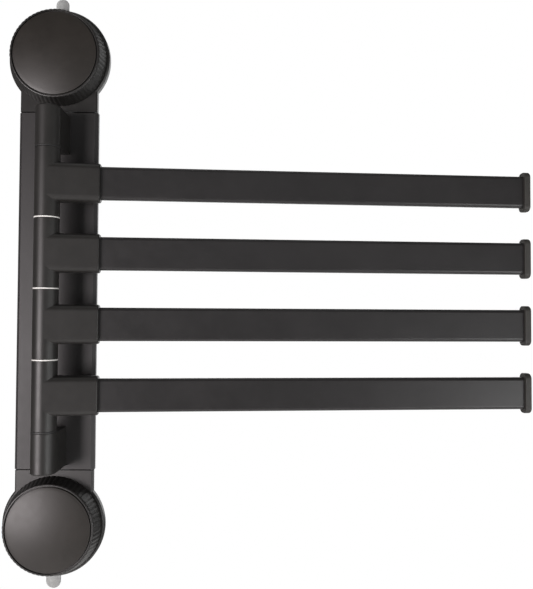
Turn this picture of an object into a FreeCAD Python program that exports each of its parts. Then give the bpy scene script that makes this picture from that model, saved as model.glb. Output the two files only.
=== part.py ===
import FreeCAD, Part
import math
import os

import Sketcher
from FreeCAD import Placement, Rotation, Vector

# Swing-arm towel rack held on a wall by two suction units.
#
# Frame: millimetres, +Z up, the wall is the plane y = 0 and the room is at -Y.
# The origin is the centre of the upper suction cup's wall face. Arms rest towards +X.
# "Depth" below is the distance of a thing from the wall, so it is measured along -Y.

DIMENSIONS = {
    # suction units
    "unit_spacing": 331.2,
    "cup_radius": 34.0,
    "cup_depth": 5.0,
    "cup_web": 2.6,
    "cup_skin": 1.4,
    "cup_rim_width": 2.0,
    "cup_boss_radius": 12.5,
    "cup_boss_depth": 4.5,
    "tab_width": 10.2,
    "tab_thickness": 1.4,
    "tab_depth": 2.2,
    "tab_reach": 46.6,
    "stud_radius": 4.0,
    "stud_flat": 3.2,
    "stud_flange_radius": 9.9,
    "stud_flange_thickness": 1.4,
    "stud_reach": 15.0,
    "moulding_gap": 0.1,
    # moulded base
    "base_thickness": 4.9,
    "base_wall": 2.2,
    "base_skirt": 2.0,
    "base_radius": 36.0,
    "base_bevel": 1.1,
    "block_half_width": 27.5,
    "seam_gap": 0.5,
    "hub_boss_radius": 9.0,
    "hub_boss_rise": 1.0,
    "prong_inner": 10.5,
    "prong_outer": 25.4,
    "prong_length": 24.0,
    "prong_overlap": 6.0,
    # knob
    "knob_gap": 0.5,
    "knob_rise": 11.9,
    "knob_base_radius": 34.3,
    "knob_rim_radius": 31.4,
    "knob_wall": 2.2,
    "knob_front_wall": 2.0,
    "knob_recess": 1.4,
    "knob_edge": 0.5,
    "face_radius": 29.5,
    "face_groove": 0.6,
    "face_thickness": 1.3,
    "face_chamfer": 0.3,
    "face_crown": 2.4,
    "insert_radius": 6.0,
    "insert_flange_radius": 8.0,
    "insert_flange": 1.2,
    "insert_length": 6.5,
    "thread_gap": 0.05,
    "thrust_radius": 8.8,
    "thrust_thickness": 0.6,
    # rail
    "rail_length": 254.1,
    "rail_width": 56.4,
    "rail_front": 2.2,
    "rail_side": 2.0,
    "rail_bevel": 2.3,
    "rail_end_edge": 0.4,
    # swivel column
    "column_depth": 33.0,
    "column_radius": 8.45,
    "bracket_reach": 124.4,
    "bracket_edge": 1.2,
    "seam_edge": 0.35,
    "rod_radius": 3.0,
    "rod_inset": 5.0,
    "rod_gap": 0.02,
    "bracket_screw_inner": 102.5,
    "bracket_screw_outer": 117.5,
    "bracket_screw_radius": 2.0,
    "bracket_screw_head": 3.6,
    "bracket_screw_head_rise": 2.2,
    "bracket_screw_bite": 9.5,
    "hub_pitch": 48.1,
    "spacer_thickness": 0.8,
    "spacer_play": 0.05,
    "spacer_bore": 3.1,
    "bush_radius": 5.0,
    "bush_length": 12.0,
    "bush_running_gap": 0.05,
    # arms
    "rest_angle": 4.6,
    "socket_reach": 36.0,
    "socket_height": 26.6,
    "socket_thickness": 11.24,
    "socket_root": 0.7,
    "socket_root_thickness": 16.83,
    "socket_corner": 4.5,
    "socket_edge": 1.1,
    "arm_start": 13.0,
    "arm_reach": 339.4,
    "arm_height": 22.8,
    "arm_thickness": 6.0,
    "arm_corner": 2.4,
    "arm_wall": 1.2,
    "arm_fit": 0.03,
    "end_cap_length": 4.6,
    "end_cap_height": 28.4,
    "end_cap_thickness": 10.4,
    "end_cap_corner": 4.0,
    "end_cap_edge": 1.3,
    "end_cap_lip": 0.5,
    "plug_length": 12.0,
    # small countersunk screws
    "screw_radius": 1.5,
    "screw_head": 2.9,
    "rail_screw_across": 18.0,
    "rail_screw_down": 13.0,
    "rail_screw_length": 4.2,
    "arm_screw_along": 24.0,
    "arm_screw_depth": 6.3,
    "arm_screw_length": 5.2,
}

# Depths that several pieces share, written with the sheet's own names.
BASE_FRONT = "(dims.cup_depth + dims.base_thickness)"
BOSS_FRONT = "(%s + dims.hub_boss_rise)" % BASE_FRONT
THRUST_FRONT = "(%s + dims.thrust_thickness)" % BOSS_FRONT
KNOB_BACK = "(%s + dims.knob_gap)" % BASE_FRONT
KNOB_FRONT = "(%s + dims.knob_rise)" % KNOB_BACK
KNOB_RECESS_FLOOR = "(%s - dims.knob_recess)" % KNOB_FRONT
FACE_EDGE = "(%s + dims.face_thickness)" % KNOB_RECESS_FLOOR
INSERT_BACK = "(%s + dims.spacer_play)" % THRUST_FRONT
INSERT_FRONT = "(%s + dims.insert_length)" % INSERT_BACK
COLUMN_MIDDLE = "(-dims.unit_spacing / 2)"
BRACKET_START = "(2 * dims.hub_pitch + dims.spacer_thickness / 2 + dims.spacer_play)"
HUB_HEIGHT = "(dims.hub_pitch - dims.spacer_thickness - 2 * dims.spacer_play)"
BLOCK_REACH = "(dims.unit_spacing / 2 - dims.rail_length / 2 - dims.seam_gap)"
LEG_LENGTH = "(dims.column_depth - %s)" % BASE_FRONT

VERTICAL = Vector(0, 0, 1)
OUTWARD = Vector(0, 1, 0)

document = FreeCAD.newDocument("towel_rack")
pieces = []


def fill_sheet():
    """Put every driving dimension in the sheet under its own alias."""
    sheet = document.addObject("Spreadsheet::Sheet", "dims")
    for row, (alias, value) in enumerate(DIMENSIONS.items(), start=1):
        sheet.set("A%d" % row, alias)
        sheet.set("B%d" % row, str(value))
        sheet.setAlias("B%d" % row, alias)
    document.recompute()


def place(item, axis=VERTICAL, turn=0.0, across="0", along="0", up="0", turn_by=None):
    """Place a piece; along is +Y, so a depth goes in with a minus sign."""
    item.Placement = Placement(Vector(), Rotation(axis, turn if turn_by is None else 1.0))
    item.setExpression("Placement.Base.x", across)
    item.setExpression("Placement.Base.y", along)
    item.setExpression("Placement.Base.z", up)
    if turn_by is not None:
        item.setExpression("Placement.Rotation.Angle", turn_by)


def new_body(label, **placing):
    """Start one piece as a body of its own."""
    body = document.addObject("PartDesign::Body", label)
    body.Label = label
    place(body, **placing)
    pieces.append(body)
    return body


def sketch_on(body, role, offset="0"):
    """Sketch on one of the body's own planes, moved along that plane's normal.

    XY_Plane looks along +Z, XZ_Plane along -Y and YZ_Plane along +X.
    """
    sketch = body.newObject("Sketcher::SketchObject", "sketch")
    plane = [item for item in body.Origin.OriginFeatures if item.Role == role][0]
    sketch.AttachmentSupport = [(plane, "")]
    sketch.MapMode = "FlatFace"
    sketch.setExpression("AttachmentOffset.Base.z", offset)
    return sketch


def bind(sketch, kind, geometry, value, expression):
    """Add a dimension to the sketch and drive it from the sheet."""
    index = sketch.addConstraint(Sketcher.Constraint(kind, *geometry, value))
    sketch.setExpression("Constraints[%d]" % index, expression)


def pin_point(sketch, line, end, guess, across, up):
    """Hold one end of a line at a place given by two expressions."""
    if across == "0":
        sketch.addConstraint(Sketcher.Constraint("PointOnObject", line, end, -2))
    else:
        bind(sketch, "DistanceX", (-1, 1, line, end), guess.x, across)
    if up == "0":
        sketch.addConstraint(Sketcher.Constraint("PointOnObject", line, end, -1))
    else:
        bind(sketch, "DistanceY", (-1, 1, line, end), guess.y, up)


def outline(sketch, corners):
    """Draw a closed polygon whose corners are pairs of expressions."""
    first = sketch.GeometryCount
    count = len(corners)
    guesses = []
    for index in range(count):
        angle = 0.4 + 2 * math.pi * index / count
        guesses.append(Vector(math.cos(angle), math.sin(angle), 0))
    for index in range(count):
        sketch.addGeometry(Part.LineSegment(guesses[index], guesses[(index + 1) % count]), False)
    for index in range(count):
        following = first + (index + 1) % count
        sketch.addConstraint(Sketcher.Constraint("Coincident", first + index, 2, following, 1))
    for index, (across, up) in enumerate(corners):
        pin_point(sketch, first + index, 1, guesses[index], across, up)


def rectangle(sketch, left, right, low, high):
    """Draw a rectangle between four expressions."""
    outline(sketch, [(left, low), (right, low), (right, high), (left, high)])


def circle(sketch, radius, across="0", up="0"):
    """Draw a circle; three expressions give its radius and centre."""
    guess = Vector(1.5, 1.5, 0)
    index = sketch.addGeometry(Part.Circle(guess, VERTICAL, 2.0), False)
    bind(sketch, "Radius", (index,), 2.0, radius)
    pin_point(sketch, index, 3, guess, across, up)


def double_flat(sketch, radius, flat):
    """Draw a circle cut by two upright flats, each at the given distance from the centre."""
    start_radius = 4.0
    start_flat = 3.2
    rise = math.sqrt(start_radius ** 2 - start_flat ** 2)
    lean = math.atan2(rise, start_flat)
    full = Part.Circle(Vector(), VERTICAL, start_radius)
    right = sketch.addGeometry(
        Part.LineSegment(Vector(start_flat, -rise, 0), Vector(start_flat, rise, 0)), False)
    top = sketch.addGeometry(Part.ArcOfCircle(full, lean, math.pi - lean), False)
    left = sketch.addGeometry(
        Part.LineSegment(Vector(-start_flat, rise, 0), Vector(-start_flat, -rise, 0)), False)
    bottom = sketch.addGeometry(Part.ArcOfCircle(full, math.pi + lean, 2 * math.pi - lean), False)
    joints = [(right, 2, top, 1), (top, 2, left, 1), (left, 2, bottom, 1), (bottom, 2, right, 1),
              (top, 3, -1, 1), (bottom, 3, -1, 1)]
    for joint in joints:
        sketch.addConstraint(Sketcher.Constraint("Coincident", *joint))
    sketch.addConstraint(Sketcher.Constraint("Vertical", right))
    sketch.addConstraint(Sketcher.Constraint("Vertical", left))
    bind(sketch, "Radius", (top,), start_radius, radius)
    bind(sketch, "DistanceX", (-1, 1, right, 1), start_flat, flat)
    bind(sketch, "DistanceX", (-1, 1, left, 1), -start_flat, "-" + flat)


def pad(body, sketch, length, symmetric=False):
    """Add material from the sketch along its normal."""
    feature = body.newObject("PartDesign::Pad", "pad")
    feature.Profile = sketch
    feature.setExpression("Length", length)
    if symmetric:
        feature.SideType = "Symmetric"
    document.recompute()
    return feature


def cut(body, sketch, length=None, forward=False):
    """Remove material against the sketch's normal, or along it when forward is set.

    Without a length the cut goes right through, both ways.
    """
    before = body.Shape.Volume
    feature = body.newObject("PartDesign::Pocket", "pocket")
    feature.Profile = sketch
    if length is None:
        feature.SideType = "Symmetric"
        feature.Type = "ThroughAll"
    else:
        feature.setExpression("Length", length)
        feature.Reversed = forward
    document.recompute()
    if not body.Shape.Volume < before - 1e-6:
        raise RuntimeError("%s: a pocket removed nothing" % body.Label)
    return feature


def revolve(body, corners, role="XY_Plane"):
    """Turn an outline about the sketch's upright axis."""
    sketch = sketch_on(body, role)
    outline(sketch, corners)
    feature = body.newObject("PartDesign::Revolution", "revolution")
    feature.Profile = sketch
    feature.ReferenceAxis = (sketch, ["V_Axis"])
    feature.Angle = 360.0
    document.recompute()
    return feature


def edges_where(shape, wanted):
    """Name the edges whose middle point, ends and shape satisfy a test."""
    names = []
    for number, edge in enumerate(shape.Edges, start=1):
        middle = edge.valueAt((edge.FirstParameter + edge.LastParameter) / 2)
        if wanted(edge, middle):
            names.append("Edge%d" % number)
    return names


def dress(body, kind, size, wanted):
    """Fillet or chamfer the edges of the body's tip that satisfy a test."""
    base = body.Tip
    names = edges_where(base.Shape, wanted)
    if not names:
        raise RuntimeError("%s: no edge to %s" % (body.Label, kind.lower()))
    feature = body.newObject("PartDesign::" + kind, kind.lower())
    feature.Base = (base, names)
    feature.setExpression("Radius" if kind == "Fillet" else "Size", size)
    document.recompute()
    return feature


def near(first, second, slack=0.02):
    return abs(first - second) < slack


def runs_along(edge, axis):
    """True for a straight edge parallel to an axis."""
    if not isinstance(edge.Curve, Part.Line):
        return False
    return abs(abs(edge.Curve.Direction.dot(axis)) - 1) < 1e-6


def lies_at(edge, coordinate, value):
    """True when the whole edge has one coordinate at a value."""
    low = getattr(edge.BoundBox, coordinate + "Min")
    high = getattr(edge.BoundBox, coordinate + "Max")
    return near(low, value) and near(high, value)


def primitive(kind, label, sizes, axis=VERTICAL, turn=0.0, **placing):
    """Make one Part primitive with its sizes and place bound to the sheet."""
    item = document.addObject("Part::" + kind, label)
    for name, expression in sizes.items():
        item.setExpression(name, expression)
    place(item, axis=axis, turn=turn, **placing)
    return item


def group(label, items, **placing):
    """Collect identical pieces, each still a solid of its own, in one node."""
    holder = document.addObject("Part::Compound", label)
    holder.Label = label
    holder.Links = items
    place(holder, **placing)
    pieces.append(holder)
    return holder


def countersunk_screw(label, length, axis, turn, **placing):
    """Flat-headed screw: its head's face is at the placed point and its tip along the axis."""
    head = primitive("Cone", label + "_head", {
        "Radius1": "dims.screw_head", "Radius2": "dims.screw_radius",
        "Height": "dims.screw_head - dims.screw_radius"})
    shank = primitive("Cylinder", label + "_shank",
                      {"Radius": "dims.screw_radius", "Height": length})
    screw = document.addObject("Part::Fuse", label)
    screw.Base = head
    screw.Tool = shank
    place(screw, axis=axis, turn=turn, **placing)
    return screw


def suction_cup(unit, placing):
    """Clear flexible cup: flat wall face, raised rim and a boss moulded over the stud."""
    body = new_body(unit + "_suction_cup", **placing)
    flange_front = "-(dims.cup_skin + dims.stud_flange_thickness + dims.moulding_gap)"
    revolve(body, [
        ("0", "0"),
        ("dims.cup_radius", "0"),
        ("dims.cup_radius", "-dims.cup_depth"),
        ("dims.cup_radius - dims.cup_rim_width", "-dims.cup_depth"),
        ("dims.cup_radius - dims.cup_rim_width", "-dims.cup_web"),
        ("dims.cup_boss_radius + 1", "-dims.cup_web"),
        ("dims.cup_boss_radius", "-dims.cup_boss_depth"),
        ("dims.stud_radius + dims.moulding_gap", "-dims.cup_boss_depth"),
        ("dims.stud_radius + dims.moulding_gap", flange_front),
        ("dims.stud_flange_radius + dims.moulding_gap", flange_front),
        ("dims.stud_flange_radius + dims.moulding_gap", "-dims.cup_skin"),
        ("0", "-dims.cup_skin"),
    ])
    tab = sketch_on(body, "XZ_Plane", "dims.tab_depth")
    rectangle(tab, "-dims.tab_width / 2", "dims.tab_width / 2",
              "dims.cup_radius - dims.cup_rim_width", "dims.tab_reach")
    pad(body, tab, "dims.tab_thickness")
    tip = DIMENSIONS["tab_reach"]
    half_width = DIMENSIONS["tab_width"] / 2
    dress(body, "Fillet", "dims.tab_width / 2 - 0.1",
          lambda edge, middle: runs_along(edge, OUTWARD) and near(middle.z, tip)
          and near(abs(middle.x), half_width))


def cup_stud(unit, placing):
    """Metal stud: a disc held in the cup and a threaded shank with two flats."""
    body = new_body(unit + "_cup_stud", **placing)
    flange = sketch_on(body, "XZ_Plane", "dims.cup_skin + dims.moulding_gap / 2")
    circle(flange, "dims.stud_flange_radius")
    pad(body, flange, "dims.stud_flange_thickness")
    shank = sketch_on(body, "XZ_Plane", "dims.cup_skin + dims.moulding_gap")
    double_flat(shank, "dims.stud_radius", "dims.stud_flat")
    pad(body, shank, "dims.stud_reach - dims.cup_skin - dims.moulding_gap")
    tip = -DIMENSIONS["stud_reach"]
    dress(body, "Chamfer", "0.6", lambda edge, middle: lies_at(edge, "Y", tip))


def moulded_base(unit, placing):
    """Round suction base with the end block and two prongs that run into the rail."""
    body = new_body(unit + "_base", **placing)
    disc = sketch_on(body, "XZ_Plane", "dims.cup_depth")
    circle(disc, "dims.base_radius")
    pad(body, disc, "dims.base_thickness")
    block = sketch_on(body, "XZ_Plane", "dims.cup_depth")
    rectangle(block, "-dims.block_half_width", "dims.block_half_width",
              "-" + BLOCK_REACH, "-dims.base_radius / 2")
    pad(body, block, "dims.base_thickness")
    front = -(DIMENSIONS["cup_depth"] + DIMENSIONS["base_thickness"])
    seam = -(DIMENSIONS["unit_spacing"] / 2 - DIMENSIONS["rail_length"] / 2
             - DIMENSIONS["seam_gap"])
    dress(body, "Chamfer", "dims.base_bevel",
          lambda edge, middle: lies_at(edge, "Y", front) and middle.z > seam + 0.1)
    hollow = sketch_on(body, "XZ_Plane", "dims.cup_depth")
    circle(hollow, "dims.base_radius - dims.base_skirt")
    cut(body, hollow, "dims.base_thickness - dims.base_wall", forward=True)
    boss = sketch_on(body, "XZ_Plane", BASE_FRONT)
    circle(boss, "dims.hub_boss_radius")
    pad(body, boss, "dims.hub_boss_rise")
    passage = sketch_on(body, "XZ_Plane", "dims.cup_depth")
    double_flat(passage, "(dims.stud_radius + dims.moulding_gap)",
                "(dims.stud_flat + dims.moulding_gap)")
    cut(body, passage)
    for side, (left, right) in {"left": ("-dims.prong_outer", "-dims.prong_inner"),
                                "right": ("dims.prong_inner", "dims.prong_outer")}.items():
        prong = sketch_on(body, "XZ_Plane", "dims.cup_depth")
        rectangle(prong, left, right, "-(%s + dims.prong_length)" % BLOCK_REACH,
                  "-(%s - dims.prong_overlap / 4)" % BLOCK_REACH)
        pad(body, prong, "dims.base_thickness - dims.rail_front - dims.moulding_gap")
    holes = sketch_on(body, "XZ_Plane", "dims.cup_depth")
    for across in ("-dims.rail_screw_across", "dims.rail_screw_across"):
        circle(holes, "dims.screw_radius", across, "-(%s + dims.rail_screw_down)" % BLOCK_REACH)
    cut(body, holes)
    back = -DIMENSIONS["cup_depth"]
    screw_across = DIMENSIONS["rail_screw_across"]
    reach = DIMENSIONS["screw_radius"] + 0.1
    dress(body, "Chamfer", "dims.screw_head - dims.screw_radius",
          lambda edge, middle: lies_at(edge, "Y", back)
          and near(abs(edge.BoundBox.Center.x), screw_across) and edge.BoundBox.XLength < 2 * reach)


def thrust_washer(unit, placing):
    """Plastic washer that the knob turns on."""
    body = new_body(unit + "_thrust_washer", **placing)
    ring = sketch_on(body, "XZ_Plane", BOSS_FRONT)
    circle(ring, "dims.thrust_radius")
    circle(ring, "dims.stud_radius + 0.3")
    pad(body, ring, "dims.thrust_thickness")


def knob(unit, placing):
    """Tapered hollow knob, with a plain cone through the crests of its grip ribs."""
    body = new_body(unit + "_knob", **placing)
    boss_back = "-(%s + dims.insert_flange)" % INSERT_BACK
    front_inside = "-(%s - dims.knob_front_wall)" % KNOB_RECESS_FLOOR
    relief = "-(%s - dims.knob_front_wall / 2)" % KNOB_RECESS_FLOOR
    revolve(body, [
        ("dims.knob_base_radius", "-" + KNOB_BACK),
        ("dims.knob_rim_radius", "-(%s - dims.knob_edge)" % KNOB_FRONT),
        ("dims.knob_rim_radius - dims.knob_edge", "-" + KNOB_FRONT),
        ("dims.face_radius + dims.face_groove", "-" + KNOB_FRONT),
        ("dims.face_radius + dims.face_groove", "-" + KNOB_RECESS_FLOOR),
        ("0", "-" + KNOB_RECESS_FLOOR),
        ("0", relief),
        ("dims.stud_radius + 0.4", relief),
        ("dims.stud_radius + 0.4", "-" + INSERT_FRONT),
        ("dims.insert_radius", "-" + INSERT_FRONT),
        ("dims.insert_radius", boss_back),
        ("dims.hub_boss_radius", boss_back),
        ("dims.hub_boss_radius", front_inside),
        ("dims.knob_rim_radius - dims.knob_wall", front_inside),
        ("dims.knob_base_radius - dims.knob_wall", "-" + KNOB_BACK),
    ])


def knob_insert(unit, placing):
    """Flanged brass nut pressed into the knob; its smooth bore stands for the thread."""
    body = new_body(unit + "_knob_insert", **placing)
    flange_front = "-(%s + dims.insert_flange)" % INSERT_BACK
    revolve(body, [
        ("dims.stud_radius + dims.thread_gap", "-" + INSERT_BACK),
        ("dims.insert_flange_radius", "-" + INSERT_BACK),
        ("dims.insert_flange_radius", flange_front),
        ("dims.insert_radius", flange_front),
        ("dims.insert_radius", "-" + INSERT_FRONT),
        ("dims.stud_radius + dims.thread_gap", "-" + INSERT_FRONT),
    ])


def knob_face(unit, placing):
    """Low-crowned disc set into the front of the knob, with a narrow groove around it.

    Three tapers and a flat middle follow the crown's parabola.
    """
    body = new_body(unit + "_knob_face", **placing)
    crown = [("dims.face_radius - dims.face_chamfer", "-" + FACE_EDGE)]
    for share in (0.75, 0.5, 0.25):
        crown.append(("%s * dims.face_radius" % share,
                      "-(%s + %s * dims.face_crown)" % (FACE_EDGE, 1 - share ** 2)))
    revolve(body, [
        ("0", "-" + KNOB_RECESS_FLOOR),
        ("dims.face_radius", "-" + KNOB_RECESS_FLOOR),
        ("dims.face_radius", "-(%s - dims.face_chamfer)" % FACE_EDGE),
        *crown,
        ("0", "-(%s + %s * dims.face_crown)" % (FACE_EDGE, 1 - 0.25 ** 2)),
    ])


def rail():
    """Bevelled channel between the two bases, with its screw holes."""
    body = new_body("rail", up=COLUMN_MIDDLE)
    half = "dims.rail_width / 2"
    inner = "(dims.rail_width / 2 - dims.rail_side)"
    web = "-(%s - dims.rail_front)" % BASE_FRONT
    section = sketch_on(body, "XY_Plane", "-dims.rail_length / 2")
    outline(section, [
        ("-" + half, "-dims.cup_depth"),
        ("-" + half, "-(%s - dims.rail_bevel)" % BASE_FRONT),
        ("-(%s - dims.rail_bevel)" % half, "-" + BASE_FRONT),
        ("%s - dims.rail_bevel" % half, "-" + BASE_FRONT),
        (half, "-(%s - dims.rail_bevel)" % BASE_FRONT),
        (half, "-dims.cup_depth"),
        (inner, "-dims.cup_depth"),
        (inner, web),
        ("-" + inner, web),
        ("-" + inner, "-dims.cup_depth"),
    ])
    pad(body, section, "dims.rail_length")
    holes = sketch_on(body, "XZ_Plane", "dims.cup_depth")
    for up in ("dims.bracket_screw_inner", "dims.bracket_screw_outer"):
        for sign in ("", "-"):
            circle(holes, "dims.bracket_screw_radius + 0.15", up=sign + up)
    cut(body, holes)
    pilots = sketch_on(body, "XZ_Plane", "dims.cup_depth")
    for across in ("-dims.rail_screw_across", "dims.rail_screw_across"):
        for sign in ("", "-"):
            circle(pilots, "dims.screw_radius", across,
                   sign + "(dims.rail_length / 2 + dims.seam_gap - dims.rail_screw_down)")
    cut(body, pilots, "dims.rail_screw_length", forward=True)
    end = DIMENSIONS["rail_length"] / 2
    front = -(DIMENSIONS["cup_depth"] + DIMENSIONS["base_thickness"])
    dress(body, "Chamfer", "dims.rail_end_edge",
          lambda edge, middle: near(abs(middle.z), end) and lies_at(edge, "Y", front)
          and abs(edge.BoundBox.ZLength) < 0.1)


def bracket(name, turn):
    """Pivot bracket: a rounded column head on a straight leg that stands on the rail."""
    body = new_body(name, axis=OUTWARD, turn=turn, along="-dims.column_depth", up=COLUMN_MIDDLE)
    height = "dims.bracket_reach - " + BRACKET_START
    head = sketch_on(body, "XY_Plane", BRACKET_START)
    circle(head, "dims.column_radius")
    pad(body, head, height)
    leg = sketch_on(body, "XY_Plane", BRACKET_START)
    rectangle(leg, "-dims.column_radius", "dims.column_radius", "0", LEG_LENGTH)
    pad(body, leg, height)
    top = DIMENSIONS["bracket_reach"]
    start = (2 * DIMENSIONS["hub_pitch"] + DIMENSIONS["spacer_thickness"] / 2
             + DIMENSIONS["spacer_play"])
    foot = (DIMENSIONS["column_depth"] - DIMENSIONS["cup_depth"]
            - DIMENSIONS["base_thickness"])
    dress(body, "Fillet", "dims.bracket_edge",
          lambda edge, middle: lies_at(edge, "Z", top) and middle.y < foot - 0.1)
    dress(body, "Chamfer", "dims.seam_edge",
          lambda edge, middle: lies_at(edge, "Z", start) and middle.y < foot - 0.1)
    bore = sketch_on(body, "XY_Plane", BRACKET_START)
    circle(bore, "dims.rod_radius + dims.rod_gap")
    cut(body, bore, "%s - dims.rod_inset" % height, forward=True)
    holes = sketch_on(body, "XZ_Plane", "-" + LEG_LENGTH)
    circle(holes, "dims.bracket_screw_radius", up="dims.bracket_screw_inner")
    circle(holes, "dims.bracket_screw_radius", up="dims.bracket_screw_outer")
    cut(body, holes, "dims.bracket_screw_bite + 0.5", forward=True)


def bracket_screws(name, sign):
    """Two cheese-head screws from behind the rail's web into the bracket's leg."""
    screws = []
    for place_name in ("inner", "outer"):
        label = "%s_%s" % (name, place_name)
        head = primitive("Cylinder", label + "_head", {
            "Radius": "dims.bracket_screw_head", "Height": "dims.bracket_screw_head_rise"})
        shank = primitive("Cylinder", label + "_shank", {
            "Radius": "dims.bracket_screw_radius",
            "Height": "dims.bracket_screw_head_rise + dims.rail_front + dims.bracket_screw_bite"})
        slot = primitive("Box", label + "_slot", {
            "Length": "2 * dims.bracket_screw_head + 1", "Width": "1", "Height": "0.9"},
            across="-dims.bracket_screw_head - 0.5", along="-0.5", up="-0.1")
        solid = document.addObject("Part::Fuse", label + "_solid")
        solid.Base = head
        solid.Tool = shank
        screw = document.addObject("Part::Cut", label)
        screw.Base = solid
        screw.Tool = slot
        place(screw, axis=Vector(1, 0, 0), turn=90.0,
              along="-(%s - dims.rail_front - dims.bracket_screw_head_rise)" % BASE_FRONT,
              up="%s%sdims.bracket_screw_%s" % (COLUMN_MIDDLE, sign, place_name))
        screws.append(screw)
    group(name, screws)


def rail_screws(name, sign):
    """Two countersunk screws from behind the base's prongs into the rail."""
    screws = []
    for side in ("-", ""):
        label = name + ("_left" if side else "_right")
        screws.append(countersunk_screw(
            label, "dims.rail_screw_length", Vector(1, 0, 0), 90.0,
            across=side + "dims.rail_screw_across", along="-dims.cup_depth",
            up="%s %s (dims.rail_length / 2 + dims.seam_gap - dims.rail_screw_down)"
            % (COLUMN_MIDDLE, sign)))
    group(name, screws)


def pivot_rod():
    """Steel rod through the four hubs, held in a blind bore of each bracket."""
    body = new_body("pivot_rod", along="-dims.column_depth", up=COLUMN_MIDDLE)
    section = sketch_on(body, "XY_Plane")
    circle(section, "dims.rod_radius")
    pad(body, section, "2 * (dims.bracket_reach - dims.rod_inset - 0.1)", symmetric=True)
    end = DIMENSIONS["bracket_reach"] - DIMENSIONS["rod_inset"] - 0.1
    dress(body, "Chamfer", "0.5", lambda edge, middle: near(abs(middle.z), end)
          and edge.BoundBox.ZLength < 0.1)


def spacer(name, step):
    """Thin ring on the rod, as wide as the column; step counts hub pitches from the middle."""
    body = new_body(name, along="-dims.column_depth",
                    up="%s + %s * dims.hub_pitch" % (COLUMN_MIDDLE, step))
    ring = sketch_on(body, "XY_Plane")
    circle(ring, "dims.column_radius")
    circle(ring, "dims.spacer_bore")
    pad(body, ring, "dims.spacer_thickness", symmetric=True)


def on_arm(step):
    """Placement of an arm's pieces: X runs along the arm from the column's axis."""
    return {"axis": VERTICAL, "turn_by": "dims.rest_angle", "along": "-dims.column_depth",
            "up": "%s + %s * dims.hub_pitch" % (COLUMN_MIDDLE, step)}


def hub(number, step):
    """Swivel hub: a slice of the column with the tapered socket that holds an arm.

    The socket's broad faces leave the column nearly at a tangent and close in to the mouth.
    """
    body = new_body("hub_%d" % number, **on_arm(step))
    half_height = DIMENSIONS["socket_height"] / 2
    reach = DIMENSIONS["socket_reach"]
    socket = sketch_on(body, "XY_Plane")
    outline(socket, [
        ("dims.socket_root", "-dims.socket_root_thickness / 2"),
        ("dims.socket_reach", "-dims.socket_thickness / 2"),
        ("dims.socket_reach", "dims.socket_thickness / 2"),
        ("dims.socket_root", "dims.socket_root_thickness / 2"),
    ])
    pad(body, socket, "dims.socket_height", symmetric=True)
    dress(body, "Fillet", "dims.socket_corner",
          lambda edge, middle: near(abs(middle.z), half_height)
          and edge.BoundBox.XLength > reach / 2)
    dress(body, "Fillet", "dims.socket_edge", lambda edge, middle: lies_at(edge, "X", reach))
    barrel = sketch_on(body, "XY_Plane")
    circle(barrel, "dims.column_radius")
    pad(body, barrel, HUB_HEIGHT, symmetric=True)
    column = DIMENSIONS["column_radius"]
    seat = sketch_on(body, "YZ_Plane", "dims.socket_reach")
    rectangle(seat, "-(dims.arm_thickness / 2 + dims.arm_fit)",
              "dims.arm_thickness / 2 + dims.arm_fit",
              "-(dims.arm_height / 2 + dims.arm_fit)", "dims.arm_height / 2 + dims.arm_fit")
    cut(body, seat, "dims.socket_reach - dims.arm_start")
    seat_y = DIMENSIONS["arm_thickness"] / 2 + DIMENSIONS["arm_fit"]
    seat_z = DIMENSIONS["arm_height"] / 2 + DIMENSIONS["arm_fit"]
    dress(body, "Fillet", "dims.arm_corner",
          lambda edge, middle: runs_along(edge, Vector(1, 0, 0)) and near(abs(middle.y), seat_y)
          and near(abs(middle.z), seat_z))
    half_hub = (DIMENSIONS["hub_pitch"] - DIMENSIONS["spacer_thickness"]) / 2 \
        - DIMENSIONS["spacer_play"]
    bore = sketch_on(body, "XY_Plane")
    circle(bore, "dims.bush_radius + dims.rod_gap")
    cut(body, bore)
    dress(body, "Chamfer", "dims.seam_edge",
          lambda edge, middle: near(abs(middle.z), half_hub) and edge.BoundBox.ZLength < 0.1
          and near(math.hypot(middle.x, middle.y), column))
    spot_face = sketch_on(body, "XZ_Plane", "-dims.arm_screw_depth")
    circle(spot_face, "dims.screw_head + 0.2", across="dims.arm_screw_along")
    cut(body, spot_face, "1")
    screw_hole = sketch_on(body, "XZ_Plane", "-dims.arm_screw_depth")
    circle(screw_hole, "dims.screw_radius", across="dims.arm_screw_along")
    cut(body, screw_hole, "dims.arm_screw_depth", forward=True)
    screw_face = DIMENSIONS["arm_screw_depth"]
    dress(body, "Chamfer", "dims.screw_head - dims.screw_radius",
          lambda edge, middle: lies_at(edge, "Y", screw_face)
          and near(edge.BoundBox.Center.x, DIMENSIONS["arm_screw_along"])
          and near(edge.BoundBox.XLength, 2 * DIMENSIONS["screw_radius"]))


def hub_bushes(number, step):
    """Two plastic bushes, one at each end of the hub's bore."""
    bushes = []
    for end in ("upper", "lower"):
        label = "hub_bushes_%d_%s" % (number, end)
        sleeve = primitive("Cylinder", label + "_sleeve",
                           {"Radius": "dims.bush_radius", "Height": "dims.bush_length"})
        bore = primitive("Cylinder", label + "_bore", {
            "Radius": "dims.rod_radius + dims.bush_running_gap",
            "Height": "dims.bush_length + 2"}, up="-1")
        bush = document.addObject("Part::Cut", label)
        bush.Base = sleeve
        bush.Tool = bore
        low_end = "-%s / 2" % HUB_HEIGHT
        high_end = "%s / 2 - dims.bush_length" % HUB_HEIGHT
        place(bush, up=high_end if end == "upper" else low_end)
        bushes.append(bush)
    group("hub_bushes_%d" % number, bushes, **on_arm(step))


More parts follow.
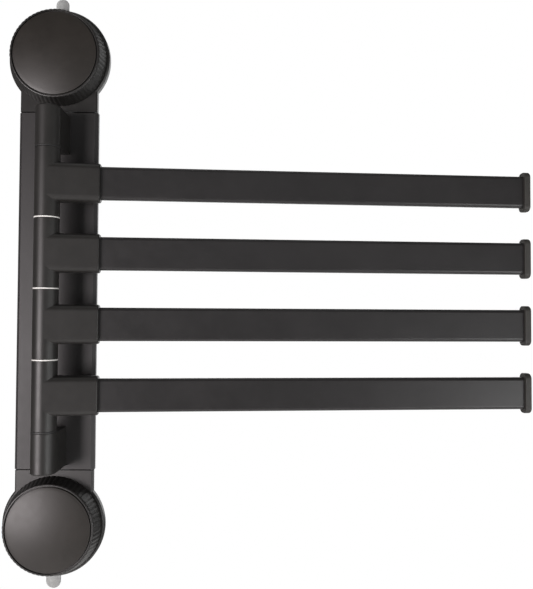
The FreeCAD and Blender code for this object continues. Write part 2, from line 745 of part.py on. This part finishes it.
def arm_tube(number, step):
    """Flat rounded tube from inside the socket to the end cap."""
    body = new_body("arm_tube_%d" % number, **on_arm(step))
    half_thickness = DIMENSIONS["arm_thickness"] / 2
    half_height = DIMENSIONS["arm_height"] / 2
    outside = sketch_on(body, "YZ_Plane", "dims.arm_start")
    rectangle(outside, "-dims.arm_thickness / 2", "dims.arm_thickness / 2",
              "-dims.arm_height / 2", "dims.arm_height / 2")
    pad(body, outside, "dims.arm_reach - dims.end_cap_length - dims.arm_start")
    dress(body, "Fillet", "dims.arm_corner",
          lambda edge, middle: runs_along(edge, Vector(1, 0, 0))
          and near(abs(middle.y), half_thickness) and near(abs(middle.z), half_height))
    inside = sketch_on(body, "YZ_Plane", "dims.arm_start")
    rectangle(inside, "-(dims.arm_thickness / 2 - dims.arm_wall)",
              "dims.arm_thickness / 2 - dims.arm_wall",
              "-(dims.arm_height / 2 - dims.arm_wall)", "dims.arm_height / 2 - dims.arm_wall")
    cut(body, inside)
    dress(body, "Fillet", "dims.arm_corner - dims.arm_wall",
          lambda edge, middle: runs_along(edge, Vector(1, 0, 0))
          and near(abs(middle.y), half_thickness - DIMENSIONS["arm_wall"])
          and near(abs(middle.z), half_height - DIMENSIONS["arm_wall"]))
    screw_hole = sketch_on(body, "XZ_Plane", "-dims.arm_thickness / 2")
    circle(screw_hole, "dims.screw_radius", across="dims.arm_screw_along")
    cut(body, screw_hole, "dims.arm_thickness / 2", forward=True)


def end_cap(number, step):
    """Cap that stands proud of the tube all round, with a plug pressed into it."""
    body = new_body("end_cap_%d" % number, **on_arm(step))
    start = DIMENSIONS["arm_reach"] - DIMENSIONS["end_cap_length"]
    half_thickness = DIMENSIONS["end_cap_thickness"] / 2
    half_height = DIMENSIONS["end_cap_height"] / 2
    shell = sketch_on(body, "YZ_Plane", "dims.arm_reach - dims.end_cap_length")
    rectangle(shell, "-dims.end_cap_thickness / 2", "dims.end_cap_thickness / 2",
              "-dims.end_cap_height / 2", "dims.end_cap_height / 2")
    pad(body, shell, "dims.end_cap_length")
    dress(body, "Fillet", "dims.end_cap_corner",
          lambda edge, middle: runs_along(edge, Vector(1, 0, 0))
          and near(abs(middle.y), half_thickness) and near(abs(middle.z), half_height))
    dress(body, "Fillet", "dims.end_cap_edge",
          lambda edge, middle: lies_at(edge, "X", DIMENSIONS["arm_reach"]))
    dress(body, "Fillet", "dims.end_cap_lip", lambda edge, middle: lies_at(edge, "X", start))
    inside_y = "dims.arm_thickness / 2 - dims.arm_wall - dims.arm_fit"
    inside_z = "dims.arm_height / 2 - dims.arm_wall - dims.arm_fit"
    plug = sketch_on(body, "YZ_Plane", "dims.arm_reach - dims.end_cap_length - dims.plug_length")
    rectangle(plug, "-(%s)" % inside_y, inside_y, "-(%s)" % inside_z, inside_z)
    pad(body, plug, "dims.plug_length + dims.end_cap_length / 2")
    plug_y = DIMENSIONS["arm_thickness"] / 2 - DIMENSIONS["arm_wall"] - DIMENSIONS["arm_fit"]
    dress(body, "Fillet", "dims.arm_corner - dims.arm_wall",
          lambda edge, middle: runs_along(edge, Vector(1, 0, 0)) and middle.x < start
          and near(abs(middle.y), plug_y))


def arm_screw(number, step):
    """Countersunk screw through the back of the socket into the tube."""
    screw = countersunk_screw("arm_screw_%d_shape" % number, "dims.arm_screw_length",
                              Vector(1, 0, 0), 90.0, across="dims.arm_screw_along",
                              along="dims.arm_screw_depth")
    group("arm_screw_%d" % number, [screw], **on_arm(step))


def build():
    """Make every piece, from the wall outwards and from the top down."""
    fill_sheet()
    units = {
        "upper": {"axis": OUTWARD, "turn": 0.0},
        "lower": {"axis": OUTWARD, "turn": 180.0, "up": "-dims.unit_spacing"},
    }
    for unit, placing in units.items():
        suction_cup(unit, placing)
        cup_stud(unit, placing)
        moulded_base(unit, placing)
        thrust_washer(unit, placing)
        knob(unit, placing)
        knob_insert(unit, placing)
        knob_face(unit, placing)
    rail()
    pivot_rod()
    for end, turn, sign in (("upper", 0.0, "+"), ("lower", 180.0, "-")):
        bracket(end + "_bracket", turn)
        bracket_screws(end + "_bracket_screws", sign)
        rail_screws(end + "_rail_screws", sign)
    steps = {"top_washer": 2, "spacer_1": 1, "spacer_2": 0, "spacer_3": -1, "bottom_washer": -2}
    for name, step in steps.items():
        spacer(name, step)
    for number in range(1, 5):
        step = 2.5 - number
        hub(number, step)
        hub_bushes(number, step)
        arm_tube(number, step)
        end_cap(number, step)
        arm_screw(number, step)
    document.recompute()


def check():
    """Stop if any object failed or any piece has no valid solid."""
    for item in document.Objects:
        if "Invalid" in item.State or "Error" in item.State:
            raise RuntimeError("%s is %s" % (item.Label, item.State))
    for piece in pieces:
        if piece.Shape.isNull() or not piece.Shape.isValid() or not piece.Shape.Solids:
            raise RuntimeError("%s has no valid solid" % piece.Label)


def write():
    """Write one STEP file for each piece."""
    os.makedirs("parts", exist_ok=True)
    for piece in pieces:
        piece.Shape.exportStep("parts/%s.step" % piece.Label)
        print("%-24s %d solid(s), %9.1f mm3"
              % (piece.Label, len(piece.Shape.Solids), piece.Shape.Volume))


build()
check()
write()
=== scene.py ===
import math

import bmesh
import bpy
from mathutils import Euler, Matrix, Vector


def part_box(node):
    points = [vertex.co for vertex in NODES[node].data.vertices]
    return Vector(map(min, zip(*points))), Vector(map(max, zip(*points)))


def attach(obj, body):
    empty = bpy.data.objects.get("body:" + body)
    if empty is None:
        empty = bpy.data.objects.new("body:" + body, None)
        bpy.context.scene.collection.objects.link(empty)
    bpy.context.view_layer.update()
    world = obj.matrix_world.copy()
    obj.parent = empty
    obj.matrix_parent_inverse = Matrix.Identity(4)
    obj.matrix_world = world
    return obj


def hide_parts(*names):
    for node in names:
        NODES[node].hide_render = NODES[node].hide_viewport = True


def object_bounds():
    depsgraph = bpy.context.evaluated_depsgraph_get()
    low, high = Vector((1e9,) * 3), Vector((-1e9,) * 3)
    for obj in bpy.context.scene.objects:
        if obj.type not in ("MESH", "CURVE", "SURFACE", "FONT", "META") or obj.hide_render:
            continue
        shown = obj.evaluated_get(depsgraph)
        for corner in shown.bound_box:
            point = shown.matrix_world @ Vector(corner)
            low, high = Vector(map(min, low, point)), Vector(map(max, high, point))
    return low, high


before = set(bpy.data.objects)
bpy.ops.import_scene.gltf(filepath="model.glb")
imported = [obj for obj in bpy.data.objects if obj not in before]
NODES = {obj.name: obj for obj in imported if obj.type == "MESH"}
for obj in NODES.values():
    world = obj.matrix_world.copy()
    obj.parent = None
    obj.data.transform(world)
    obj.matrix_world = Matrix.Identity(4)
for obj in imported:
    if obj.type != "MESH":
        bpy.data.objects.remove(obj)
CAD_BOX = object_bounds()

# A black towel rack with four swing arms, held on a wall by two suction units.
# The frame is in metres, +Z up, the wall is the plane y = 0 and the room is at -Y.
# "Depth" is a distance from the wall. Meshes are built in millimetres, then scaled.

MM = 0.001
UNITS = ("upper", "lower")


# ---------------------------------------------------------------- camera, lights and floor

CAMERA_PLACE = (0.14614, -0.49212, -0.18203)
CAMERA_TURN_DEGREES = (91.645, -0.292, -0.418)
FOCAL_LENGTH_MM = 41.38
SENSOR_LONG_SIDE_MM = 36.0
OBJECT_CENTRE = (CAD_BOX[0] + CAD_BOX[1]) / 2
WHITE = (1.0, 1.0, 1.0)
KEY_TINT = (1.0, 0.935, 0.945)
ROOM_TINT = (1.0, 0.985, 0.97)
ROOM_STRENGTH = 0.12
WASH_PLACE = (0.15, 0.0, -0.75)
FLOOR_HEIGHT = -1.2
FLOOR_RADIUS = 1.6


def make_camera():
    data = bpy.data.cameras.new("camera")
    data.sensor_width = SENSOR_LONG_SIDE_MM
    data.lens = FOCAL_LENGTH_MM
    data.clip_start = 0.01
    camera = bpy.data.objects.new("camera", data)
    camera.location = CAMERA_PLACE
    camera.rotation_euler = Euler([math.radians(angle) for angle in CAMERA_TURN_DEGREES])
    bpy.context.scene.collection.objects.link(camera)
    bpy.context.scene.camera = camera


def softbox(name, place, width, height, power, colour=WHITE, aim=OBJECT_CENTRE):
    """A rectangular studio light that faces the middle of the rack, or another point."""
    data = bpy.data.lights.new(name, "AREA")
    data.shape = "RECTANGLE"
    data.size = width
    data.size_y = height
    data.energy = power
    data.color = colour
    light = bpy.data.objects.new(name, data)
    light.location = place
    light.rotation_euler = (Vector(aim) - Vector(place)).to_track_quat("-Z", "Y").to_euler()
    light.visible_camera = False
    bpy.context.scene.collection.objects.link(light)


def make_lights():
    softbox("key", (-0.92, -1.3, -0.40), 0.85, 0.7, 26.0, KEY_TINT)
    softbox("front_fill", (0.6, -2.0, 0.1), 1.4, 1.4, 2.0)
    softbox("low_right", (1.15, -1.0, -0.66), 0.6, 0.55, 7.0)
    softbox("right_side", (1.5, -0.4, -0.35), 0.5, 0.8, 3.2)
    softbox("overhead", (0.1, -0.2, 1.5), 1.4, 1.0, 3.0)
    softbox("back_fill", (0.4, 1.57, 0.12), 1.5, 1.5, 14.0)
    softbox("floor_wash", WASH_PLACE, 3.2, 3.2, 13.0, aim=(*WASH_PLACE[:2], FLOOR_HEIGHT))


def make_world():
    """White behind the rack; a dim grey room for its light and reflections."""
    world = bpy.data.worlds.new("studio")
    world.use_nodes = True
    tree = world.node_tree
    tree.nodes.clear()
    seen = add(tree, "Background", {"Color": (*WHITE, 1.0), "Strength": 1.0})
    room = add(tree, "Background", {"Color": (*ROOM_TINT, 1.0), "Strength": ROOM_STRENGTH})
    path = add(tree, "LightPath")
    mixed = add(tree, "MixShader", {0: path.outputs["Is Camera Ray"], 1: room.outputs[0],
                                    2: seen.outputs[0]})
    add(tree, "OutputWorld", {"Surface": mixed.outputs[0]})
    bpy.context.scene.world = world
    bpy.context.scene.view_settings.view_transform = "Standard"


def make_floor():
    mesh = bpy.data.meshes.new("floor")
    shape = bmesh.new()
    bmesh.ops.create_circle(shape, cap_ends=True, segments=96, radius=FLOOR_RADIUS)
    shape.to_mesh(mesh)
    shape.free()
    floor = bpy.data.objects.new("floor", mesh)
    floor.location = (OBJECT_CENTRE.x, 0.0, FLOOR_HEIGHT)
    floor.data.materials.append(floor_material())
    bpy.context.scene.collection.objects.link(floor)


# ---------------------------------------------------------------- shader helpers

def add(tree, kind, inputs=None, **settings):
    """Add a node. Each input is a value to set or a socket to link."""
    node = tree.nodes.new("ShaderNode" + kind)
    for name, value in settings.items():
        setattr(node, name, value)
    for name, value in (inputs or {}).items():
        if isinstance(value, bpy.types.NodeSocket):
            tree.links.new(value, node.inputs[name])
        else:
            node.inputs[name].default_value = value
    return node


def new_material(name):
    """A material, its node tree and the principled shader that ends it."""
    material = bpy.data.materials.new(name)
    material.use_nodes = True
    tree = material.node_tree
    return material, tree, tree.nodes["Principled BSDF"]


def grain(tree, feature_mm, detail=2.0, stretch=(1.0, 1.0, 1.0), turn=0.0):
    """Noise from 0 to 1 fixed to the piece, with features of about the given size.

    stretch makes the features longer along an axis, after a turn about the upright.
    """
    place = add(tree, "TexCoord").outputs["Object"]
    scale = [1.0 / factor for factor in stretch]
    place = add(tree, "Mapping", {"Vector": place, "Rotation": (0.0, 0.0, turn),
                                  "Scale": scale}).outputs[0]
    return add(tree, "TexNoise", {"Vector": place, "Scale": 1.0 / (feature_mm * MM),
                                  "Detail": detail, "Roughness": 0.55}).outputs[0]


def remap(tree, value, low, high, to_low, to_high):
    """Map low..high to to_low..to_high, and clamp."""
    return add(tree, "MapRange", {"Value": value, "From Min": low, "From Max": high,
                                  "To Min": to_low, "To Max": to_high}).outputs[0]


def join(tree, operation, first, second):
    return add(tree, "Math", {0: first, 1: second}, operation=operation).outputs[0]


def blend_colour(tree, factor, first, second):
    """Mix two colours, each a triple or a socket."""
    sides = [side if isinstance(side, bpy.types.NodeSocket) else (*side, 1.0)
             for side in (first, second)]
    return add(tree, "Mix", {0: factor, 6: sides[0], 7: sides[1]}, data_type="RGBA").outputs[2]


def bump(tree, height, depth_mm, strength, under=None):
    inputs = {"Height": height, "Distance": depth_mm * MM, "Strength": strength}
    if under is not None:
        inputs["Normal"] = under
    return add(tree, "Bump", inputs).outputs[0]


def edges(tree, radius_mm):
    """1 along sharp edges and tight corners, 0 on flat and gently curved faces."""
    softened = add(tree, "Bevel", {"Radius": radius_mm * MM}, samples=6)
    facing = add(tree, "NewGeometry").outputs["Normal"]
    match = add(tree, "VectorMath", {0: softened.outputs[0], 1: facing}, operation="DOT_PRODUCT")
    return remap(tree, match.outputs["Value"], 0.985, 0.80, 0.0, 1.0)


def scaled(colour, factor):
    return tuple(channel * factor for channel in colour)


# ---------------------------------------------------------------- materials

def coated(name, colour, roughness, grain_mm, relief_mm, wear_and_highlight_colour, lines=None):
    """A satin coat over metal or plastic: fine orange peel, uneven sheen, rubbed edges.

    The wear colour shows where an edge has been rubbed and is also used for dust; on the rail it is
    light enough that the rubbed edges make a painted highlight line. lines is the stretch and the
    turn of faint draw lines, for extruded pieces.
    """
    material, tree, shader = new_material(name)
    broad = grain(tree, 30.0, detail=3.0)
    middling = grain(tree, 5.0, detail=3.0)
    fine = grain(tree, grain_mm)
    tone = blend_colour(tree, remap(tree, broad, 0.3, 0.7, 0.0, 1.0),
                        scaled(colour, 0.86), scaled(colour, 1.14))
    mottle = remap(tree, middling, 0.45, 0.75, 0.0, 0.22)
    tone = blend_colour(tree, mottle, tone, scaled(colour, 1.35))
    dust = remap(tree, grain(tree, 0.9, detail=1.0), 0.70, 0.80, 0.0, 0.25)
    tone = blend_colour(tree, dust, tone, scaled(wear_and_highlight_colour, 0.8))
    # Edge mask: rubbed paint, and on the rail also a painted highlight line along the edges.
    edge_wear_and_highlight = join(tree, "MULTIPLY", edges(tree, 0.7), remap(tree, middling, 0.35, 0.65, 0.15, 0.7))
    tree.links.new(blend_colour(tree, edge_wear_and_highlight, tone, wear_and_highlight_colour), shader.inputs["Base Color"])
    sheen_break = remap(tree, middling, 0.3, 0.7, roughness - 0.02, roughness + 0.025)
    rough = join(tree, "ADD", sheen_break, remap(tree, broad, 0.3, 0.7, -0.02, 0.02))
    rough = join(tree, "SUBTRACT", rough, join(tree, "MULTIPLY", edge_wear_and_highlight, 0.12))
    tree.links.new(rough, shader.inputs["Roughness"])
    normal = bump(tree, fine, relief_mm, 0.35)
    if lines:
        stretch, turn = lines
        normal = bump(tree, grain(tree, 0.8, 3.0, stretch, turn), 0.02, 0.25, under=normal)
    tree.links.new(normal, shader.inputs["Normal"])
    return material


def clear_rubber():
    """Cloudy flexible plastic, half clear, with faint flow marks."""
    material, tree, shader = new_material("clear_rubber")
    cloud = grain(tree, 9.0, detail=4.0)
    fine = grain(tree, 0.6)
    tint = blend_colour(tree, remap(tree, cloud, 0.3, 0.7, 0.0, 1.0),
                        (0.42, 0.43, 0.43), (0.50, 0.51, 0.50))
    tree.links.new(tint, shader.inputs["Base Color"])
    tree.links.new(remap(tree, cloud, 0.3, 0.7, 0.30, 0.42), shader.inputs["Roughness"])
    tree.links.new(bump(tree, fine, 0.02, 0.3), shader.inputs["Normal"])
    shader.inputs["Transmission Weight"].default_value = 0.5
    shader.inputs["IOR"].default_value = 1.49
    return material


def nylon(name, colour, roughness):
    """Turned nylon: matt, with fine rings of tool marks and a little grime."""
    material, tree, shader = new_material(name)
    rings = grain(tree, 0.3, 2.0, stretch=(25.0, 25.0, 1.0))
    grime = grain(tree, 3.0, detail=3.0)
    tone = blend_colour(tree, remap(tree, grime, 0.45, 0.8, 0.0, 0.6), colour, scaled(colour, 0.72))
    tree.links.new(tone, shader.inputs["Base Color"])
    tree.links.new(remap(tree, grime, 0.3, 0.7, roughness - 0.05, roughness + 0.08),
                   shader.inputs["Roughness"])
    tree.links.new(bump(tree, rings, 0.02, 0.4), shader.inputs["Normal"])
    return material


def metal(name, colour, tarnish, roughness):
    """Plated or bare metal with brushed marks, light tarnish and brighter edges."""
    material, tree, shader = new_material(name)
    brushed = grain(tree, 0.25, 3.0, stretch=(1.0, 14.0, 1.0))
    stain = grain(tree, 2.5, detail=4.0)
    tone = blend_colour(tree, remap(tree, stain, 0.4, 0.75, 0.0, 0.75), colour, tarnish)
    tone = blend_colour(tree, join(tree, "MULTIPLY", edges(tree, 0.3), 0.6), tone,
                        [min(1.0, channel * 1.3) for channel in colour])
    tree.links.new(tone, shader.inputs["Base Color"])
    tree.links.new(remap(tree, stain, 0.3, 0.7, roughness - 0.06, roughness + 0.12),
                   shader.inputs["Roughness"])
    tree.links.new(bump(tree, brushed, 0.015, 0.4), shader.inputs["Normal"])
    shader.inputs["Metallic"].default_value = 1.0
    return material


def floor_material():
    material, tree, shader = new_material("floor")
    soft = grain(tree, 400.0, detail=2.0)
    tone = blend_colour(tree, soft, (0.80, 0.80, 0.79), (0.86, 0.86, 0.85))
    tree.links.new(tone, shader.inputs["Base Color"])
    tree.links.new(remap(tree, grain(tree, 6.0), 0.3, 0.7, 0.75, 0.9), shader.inputs["Roughness"])
    return material


REST_ANGLE = math.radians(4.6)
UPRIGHT_LINES = ((1.0, 1.0, 90.0), 0.0)
ARM_LINES = ((90.0, 1.0, 1.0), -REST_ANGLE)
RUBBED_PAINT = (0.085, 0.080, 0.078)
# Rail edges: rubbed paint made light enough to be a painted highlight line along them.
RAIL_WEAR_AND_HIGHLIGHT = (0.130, 0.122, 0.120)


def make_finishes():
    """One material for each of the record's slots, and a rougher plastic for the arms' caps."""
    return {
        "painted_rail": coated("rail_coat", (0.0200, 0.0185, 0.0187), 0.46, 0.55, 0.03,
                               RAIL_WEAR_AND_HIGHLIGHT, UPRIGHT_LINES),
        "painted_tube": coated("tube_coat", (0.0140, 0.0131, 0.0134), 0.34, 0.55, 0.03,
                               RUBBED_PAINT, ARM_LINES),
        "painted_casting": coated("casting_coat", (0.0125, 0.0117, 0.0107), 0.43, 0.7, 0.045,
                                  RUBBED_PAINT),
        "moulded_black": coated("moulded_plastic", (0.0130, 0.0122, 0.0114), 0.40, 0.35, 0.03,
                                (0.060, 0.057, 0.054)),
        "cap_plastic": coated("cap_plastic", (0.0235, 0.0222, 0.0196), 0.58, 0.35, 0.03,
                              (0.060, 0.057, 0.054)),
        "satin_face": coated("satin_face", (0.0158, 0.0131, 0.0106), 0.42, 0.30, 0.012,
                             (0.070, 0.062, 0.055)),
        "clear_tpu": clear_rubber(),
        "nylon_white": nylon("white_nylon", (0.80, 0.79, 0.76), 0.45),
        "nylon_black": nylon("black_nylon", (0.020, 0.020, 0.020), 0.5),
        "zinc_steel": metal("zinc_steel", (0.62, 0.61, 0.60), (0.40, 0.39, 0.37), 0.34),
        "black_steel": metal("black_steel", (0.090, 0.088, 0.086), (0.05, 0.045, 0.04), 0.40),
        "brass": metal("brass", (0.70, 0.52, 0.26), (0.42, 0.30, 0.15), 0.32),
    }


# ---------------------------------------------------------------- mesh helpers

def rounded(corners, steps=4):
    """A closed outline from corners (across, along, radius), each one turned into an arc."""
    points = []
    for index, (across, along, radius) in enumerate(corners):
        corner = Vector((across, along))
        if radius == 0:
            points.append(corner)
            continue
        back = (Vector(corners[index - 1][:2]) - corner).normalized()
        ahead = (Vector(corners[(index + 1) % len(corners)][:2]) - corner).normalized()
        half = back.angle(ahead) / 2
        middle = corner + (back + ahead).normalized() * radius / math.sin(half)
        start = (corner + back * radius / math.tan(half) - middle).normalized()
        end = (corner + ahead * radius / math.tan(half) - middle).normalized()
        for step in range(steps + 1):
            points.append(middle + start.slerp(end, step / steps) * radius)
    return points


def new_piece(name, shape, unit, smooth_angle=40.0):
    """Turn a bmesh in millimetres, made for the upper unit, into a piece of either unit.

    The lower unit is the upper one turned half way round, end for end.
    """
    if unit == "lower":
        centre = unit_centre("lower")
        shape.transform(Matrix.Translation(centre / MM) @ Matrix.Rotation(math.pi, 4, "Y"))
    shape.transform(Matrix.Scale(MM, 4))
    bmesh.ops.recalc_face_normals(shape, faces=shape.faces)
    mesh = bpy.data.meshes.new(name)
    shape.to_mesh(mesh)
    shape.free()
    mesh.shade_smooth()
    mesh.set_sharp_from_angle(angle=math.radians(smooth_angle))
    piece = bpy.data.objects.new(name, mesh)
    bpy.context.scene.collection.objects.link(piece)
    return piece


def unit_centre(unit):
    """The middle of a suction unit's wall face."""
    low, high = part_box(unit + "_cup_stud")
    return Vector(((low.x + high.x) / 2, 0.0, (low.z + high.z) / 2))


def lathe(outline, turns, relief=None):
    """Turn an outline of (radius, depth) about the Y axis.

    relief(index, angle) gives what to take off the radius of that point of the outline.
    Points on the axis become single vertices.
    """
    shape = bmesh.new()
    rings = []
    for index, (radius, depth) in enumerate(outline):
        if radius < 1e-6:
            rings.append([shape.verts.new((0.0, -depth, 0.0))])
            continue
        ring = []
        for turn in range(turns):
            angle = 2 * math.pi * turn / turns
            reach = radius - (relief(index, angle) if relief else 0.0)
            ring.append(shape.verts.new((reach * math.sin(angle), -depth, reach * math.cos(angle))))
        rings.append(ring)
    for first, second in zip(rings, rings[1:] + rings[:1]):
        if len(first) == 1 and len(second) == 1:
            continue
        for turn in range(turns):
            after = (turn + 1) % turns
            corners = [first[turn % len(first)], first[after % len(first)],
                       second[after % len(second)], second[turn % len(second)]]
            shape.faces.new(list(dict.fromkeys(corners)))
    return shape


# ---------------------------------------------------------------- knobs

# Sizes in millimetres.
KNOB_RIBS = 62
STEPS_PER_RIB = 8
RIB_DEPTH = 0.32
RIB_WIDTH_POWER = 1.2
RIB_START = 0.4
RIB_FADE = 1.2
WALL_RINGS = 10
LONG_WALL = 5.0
RIM_RADIUS = 31.4
RIM_EDGE = 1.15
GROOVE_WIDTH = 0.6
FACE_EDGE = 0.2
FACE_GAP = 0.25
FACE_CROWN = 3.0
CROWN_RINGS = 12
FACE_TURNS = 192
FACE_EDGE_DROP = 0.1
KNOB_WALL = 2.2
KNOB_FRONT_WALL = 2.0
INSERT_FLANGE = 1.2
INSERT_CLEARANCE = 4.4
INSERT_RADIUS = 6.0
INSERT_BOSS_RADIUS = 9.0


def face_seat(unit):
    """Radius of the knob's face, and the depth of the recess floor it sits on."""
    low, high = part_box(unit + "_knob_face")
    return (high.x - low.x) / 2 / MM, -high.y / MM


def knob(unit):
    """Tapered hollow knob with rounded grip ribs that run out over its front edge."""
    low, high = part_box(unit + "_knob")
    face_radius, recess_floor = face_seat(unit)
    recess_radius = face_radius + GROOVE_WIDTH
    back_radius = (high.x - low.x) / 2 / MM
    back, front = -high.y / MM, -low.y / MM
    insert_low, insert_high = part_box(unit + "_knob_insert")
    insert_front, boss_back = -insert_low.y / MM, -insert_high.y / MM + INSERT_FLANGE
    inside = recess_floor - KNOB_FRONT_WALL
    relief_depth = recess_floor - KNOB_FRONT_WALL / 2
    outer = rounded([
        (0.0, recess_floor, 0),
        (recess_radius, recess_floor, 0),
        (recess_radius, front, 0.15),
        (RIM_RADIUS, front, RIM_EDGE),
        (back_radius, back, 0.3),
        (back_radius - KNOB_WALL, back, 0),
        (RIM_RADIUS - KNOB_WALL, inside, 1.0),
        (INSERT_BOSS_RADIUS, inside, 0.8),
        (INSERT_BOSS_RADIUS, boss_back, 0.3),
        (INSERT_RADIUS, boss_back, 0),
        (INSERT_RADIUS, insert_front, 0),
        (INSERT_CLEARANCE, insert_front, 0),
        (INSERT_CLEARANCE, relief_depth, 0),
        (0.0, relief_depth, 0),
    ])
    wall_start = next(index for index, point in enumerate(outer) if point.x > recess_radius + 0.5)
    wall_end = max(index for index, point in enumerate(outer) if point.x > back_radius - 0.6)
    outline = outer[:wall_start]
    for index in range(wall_start, wall_end):
        outline.append(outer[index])
        rings = WALL_RINGS if (outer[index] - outer[index + 1]).length > LONG_WALL else 1
        for ring in range(1, rings):
            outline.append(outer[index].lerp(outer[index + 1], ring / rings))
    outline += outer[wall_end:]

    def ribs(index, angle):
        radius = outline[index][0]
        if radius < recess_radius + RIB_START or index > wall_end + WALL_RINGS:
            return 0.0
        fade = min(1.0, (radius - recess_radius - RIB_START) / RIB_FADE)
        return RIB_DEPTH * fade * (1.0 - abs(math.cos(KNOB_RIBS * angle / 2))) ** RIB_WIDTH_POWER

    shape = lathe(outline, KNOB_RIBS * STEPS_PER_RIB, ribs)
    piece = new_piece(unit + "_grip_knob", shape, unit, smooth_angle=50.0)
    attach(piece, unit + "_knob_body")
    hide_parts(unit + "_knob")
    return piece


def knob_face(unit):
    """Satin disc set in the knob's front: slightly crowned, with a soft edge."""
    seat_radius, recess_floor = face_seat(unit)
    radius = seat_radius - FACE_GAP
    front = -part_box(unit + "_knob")[0].y / MM
    edge_depth = front - FACE_EDGE_DROP
    crown = []
    for ring in range(CROWN_RINGS):
        share = ring / CROWN_RINGS
        crown.append((radius * share, edge_depth + FACE_CROWN * (1 - share ** 2), 0))
    outline = rounded(crown + [
        (radius, edge_depth, FACE_EDGE),
        (radius, recess_floor, 0),
        (0.0, recess_floor, 0),
    ])
    piece = new_piece(unit + "_crowned_face", lathe(outline, FACE_TURNS), unit)
    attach(piece, unit + "_knob_body")
    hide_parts(unit + "_knob_face")
    return piece


# ---------------------------------------------------------------- suction cups

# Sizes in millimetres.
CUP_TURNS = 160
CUP_RIM_WIDTH = 2.0
CUP_WEB = 2.6
CUP_SKIN = 1.4
CUP_BOSS_RADIUS = 12.5
CUP_BOSS_DEPTH = 4.5
STUD_HOLE_RADIUS = 4.1
STUD_FLANGE_RADIUS = 10.0
STUD_FLANGE_FRONT = 2.9
TAB_EDGE = 0.55
TAB_ROOT = 31.5
TAB_BACK = 2.2
TAB_FRONT = 3.6
TAB_ROUNDNESS = 0.98
TAB_WIDTHS = {"upper": 9.4, "lower": 10.4}
TAB_LEAN_DEGREES = {"upper": 0.0, "lower": 1.5}


def tab(width, tip, low_depth, high_depth):
    """Round-ended pull tab that points up from the cup's rim."""
    half = width / 2
    outline = rounded([(-half, TAB_ROOT, 0), (half, TAB_ROOT, 0),
                       (half, tip, half * TAB_ROUNDNESS), (-half, tip, half * TAB_ROUNDNESS)],
                      steps=12)
    shape = bmesh.new()
    face = shape.faces.new([shape.verts.new((across, -low_depth, up)) for across, up in outline])
    wall = bmesh.ops.extrude_face_region(shape, geom=[face])
    raised = [item for item in wall["geom"] if isinstance(item, bmesh.types.BMVert)]
    bmesh.ops.translate(shape, verts=raised, vec=(0.0, low_depth - high_depth, 0.0))
    bmesh.ops.recalc_face_normals(shape, faces=shape.faces)
    rims = [edge for edge in shape.edges
            if abs(edge.verts[0].co.y - edge.verts[1].co.y) < 1e-6]
    bmesh.ops.bevel(shape, geom=rims, offset=TAB_EDGE, segments=3, profile=0.5,
                    affect="EDGES", clamp_overlap=True)
    return shape


def suction_cup(unit):
    """Clear cup: flat against the wall, rounded rim, thin web and a boss over the stud."""
    low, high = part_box(unit + "_suction_cup")
    radius = (high.x - low.x) / 2 / MM
    depth = -low.y / MM
    outline = rounded([
        (0.0, 0.0, 0),
        (radius, 0.0, 0.25),
        (radius, depth, 0.9),
        (radius - CUP_RIM_WIDTH, depth, 0.9),
        (radius - CUP_RIM_WIDTH, CUP_WEB, 0.6),
        (CUP_BOSS_RADIUS + 1.0, CUP_WEB, 1.0),
        (CUP_BOSS_RADIUS, CUP_BOSS_DEPTH, 0.4),
        (STUD_HOLE_RADIUS, CUP_BOSS_DEPTH, 0),
        (STUD_HOLE_RADIUS, STUD_FLANGE_FRONT, 0),
        (STUD_FLANGE_RADIUS, STUD_FLANGE_FRONT, 0),
        (STUD_FLANGE_RADIUS, CUP_SKIN, 0),
        (0.0, CUP_SKIN, 0),
    ])
    cup = new_piece(unit + "_clear_cup", lathe(outline, CUP_TURNS), unit)
    tip = abs((high.z if unit == "upper" else low.z) - unit_centre(unit).z) / MM
    tongue_shape = tab(TAB_WIDTHS[unit], tip, TAB_BACK, TAB_FRONT)
    tongue_shape.transform(Matrix.Rotation(math.radians(TAB_LEAN_DEGREES[unit]), 4, "Y"))
    tongue = new_piece(unit + "_tongue", tongue_shape, unit)
    union = cup.modifiers.new("tab", "BOOLEAN")
    union.operation = "UNION"
    union.solver = "EXACT"
    union.object = tongue
    graph = bpy.context.evaluated_depsgraph_get()
    joined = bpy.data.meshes.new_from_object(cup.evaluated_get(graph))
    cup.modifiers.clear()
    cup.data = joined
    bpy.data.objects.remove(tongue)
    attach(cup, "rack")
    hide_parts(unit + "_suction_cup")
    return cup


# ---------------------------------------------------------------- assembly

make_camera()
make_world()
make_lights()
make_floor()

finishes = make_finishes()
for node in NODES.values():
    for material_slot in node.material_slots:
        material_slot.material = finishes[material_slot.material.name.split(".")[0]]

for name, node in NODES.items():
    if name.startswith("end_cap"):
        node.material_slots[0].material = finishes["cap_plastic"]

for unit in UNITS:
    knob(unit).data.materials.append(finishes["moulded_black"])
    knob_face(unit).data.materials.append(finishes["satin_face"])
    suction_cup(unit).data.materials.append(finishes["clear_tpu"])
